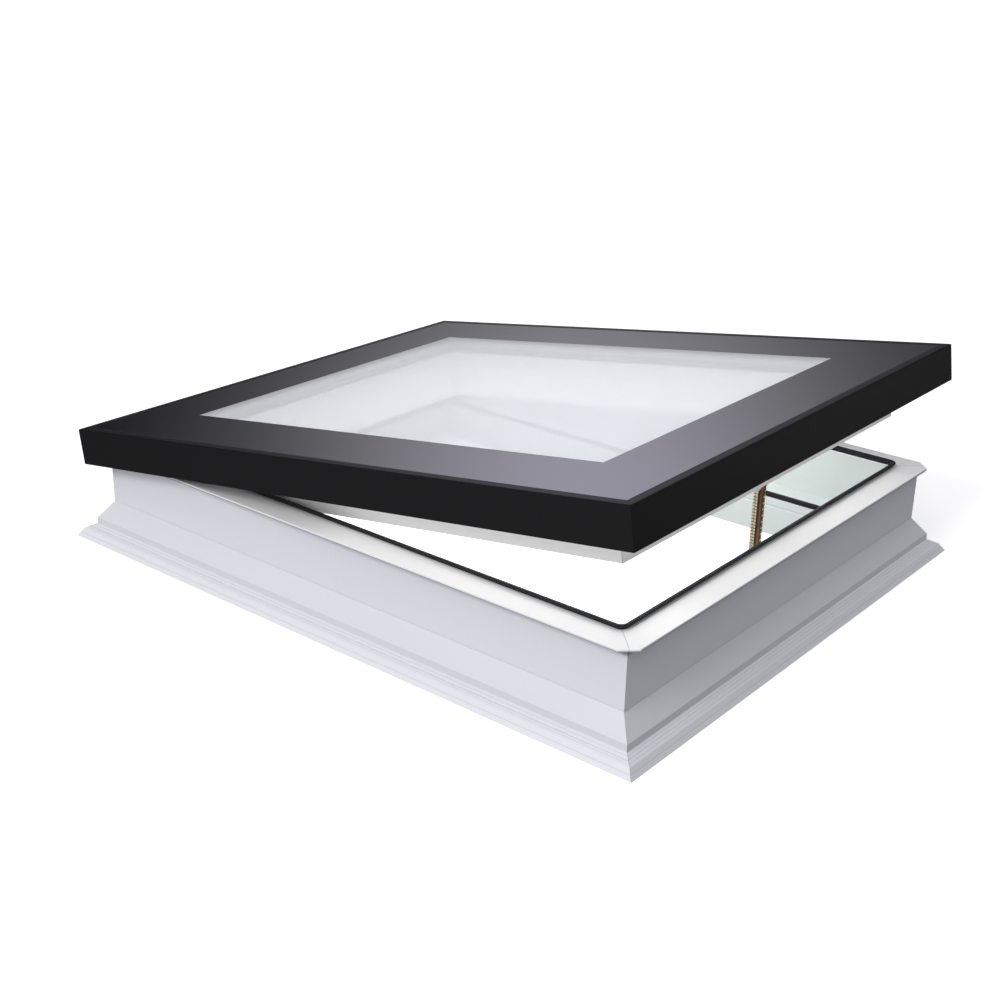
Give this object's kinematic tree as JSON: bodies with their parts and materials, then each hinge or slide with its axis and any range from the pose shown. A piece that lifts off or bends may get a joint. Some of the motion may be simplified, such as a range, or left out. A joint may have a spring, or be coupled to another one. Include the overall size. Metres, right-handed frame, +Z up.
{
  "type": "flat roof skylight",
  "caption": "Opening flat-roof skylight: flared plastic curb with a sealed top flange, flat glazed sash in a deep black metal skirt, rear hinges and a concealed push-chain opener.",
  "frame": {"origin": "centre of the curb's underside, on the roof", "axes": "+Z up; +Y from the opening side towards the hinge side; X along the hinge line"},
  "size_m": [0.9, 1.092, 0.3467],
  "materials": {
    "curb_plastic": "light grey extruded hard PVC, faint satin",
    "sash_plastic": "white extruded hard PVC, satin",
    "insulation_foam": "closed-cell foam, matt",
    "seal_rubber": "black EPDM, soft sheen",
    "galvanised_steel": "hot-dip galvanised",
    "zinc_steel": "zinc plated",
    "machine_steel": "machined",
    "skirt_metal": "black powder coat on aluminium, low sheen",
    "bare_aluminium": "mill finish",
    "outer_glass": "toughened float glass with a dark enamelled border",
    "inner_glass": "laminated float glass",
    "opener_plastic": "black moulded nylon",
    "guide_plastic": "natural acetal",
    "board": "green solder mask",
    "bronze_bush": "sintered bronze",
    "chain_bronze": "brown steel plates with bright edges",
    "block_plastic": "moulded polypropylene"
  },
  "bodies": {
    "curb": {"curb_front": "curb_plastic", "curb_right": "curb_plastic", "curb_rear": "curb_plastic", "curb_left": "curb_plastic", "insulation_front": "insulation_foam", "insulation_right": "insulation_foam", "insulation_rear": "insulation_foam", "insulation_left": "insulation_foam", "flange_seal": "seal_rubber", "ledge_seal": "seal_rubber", "cable_grommet": "seal_rubber", "curb_leaf_left": "zinc_steel", "curb_leaf_right": "zinc_steel", "hinge_pin_left": "zinc_steel", "hinge_pin_right": "zinc_steel", "curb_leaf_screws": "zinc_steel", "opener_housing": "bare_aluminium", "motor_end_cap": "opener_plastic", "storage_end_cap": "opener_plastic", "drive_motor": "machine_steel", "gearbox": "opener_plastic", "control_board": "board", "chain_guide": "guide_plastic", "shaft_bush": "bronze_bush", "push_chain": "chain_bronze", "opener_screws": "zinc_steel", "opener_cover": "sash_plastic", "cover_screws": "zinc_steel", "exit_bezel": "opener_plastic"},
    "sprocket": {"chain_sprocket": "machine_steel", "sprocket_shaft": "machine_steel"},
    "sash": {"sash_front": "sash_plastic", "sash_right": "sash_plastic", "sash_rear": "sash_plastic", "sash_left": "sash_plastic", "tube_front": "galvanised_steel", "tube_right": "galvanised_steel", "tube_rear": "galvanised_steel", "tube_left": "galvanised_steel", "skirt_front": "skirt_metal", "skirt_right": "skirt_metal", "skirt_rear": "skirt_metal", "skirt_left": "skirt_metal", "skirt_cleats": "bare_aluminium", "skirt_screws": "zinc_steel", "outer_pane": "outer_glass", "inner_pane": "inner_glass", "spacer_bar": "bare_aluminium", "edge_seal": "seal_rubber", "glazing_tape": "seal_rubber", "glazing_gasket": "seal_rubber", "setting_blocks": "block_plastic", "sash_leaf_left": "zinc_steel", "sash_leaf_right": "zinc_steel", "sash_leaf_screws": "zinc_steel", "chain_bracket": "zinc_steel", "bracket_pin": "zinc_steel", "bracket_screws": "zinc_steel"}
  },
  "joints": [
    {"name": "sash_hinge", "type": "hinge", "parent": "curb", "child": "sash", "pos_m": [0, 0.4815, 0.156], "axis": [-1, 0, 0], "range_deg": [-8.94, 0], "deforming": ["push_chain"]},
    {"name": "sprocket_spin", "type": "hinge", "parent": "curb", "child": "sprocket", "pos_m": [0.01901, -0.4399, 0.04031], "axis": [0, 1, 0], "range_deg": [-680, 0]}
  ],
  "couplings": [
    {"joint": "sprocket_spin", "follows": "sash_hinge", "ratio": 74.339}
  ]
}
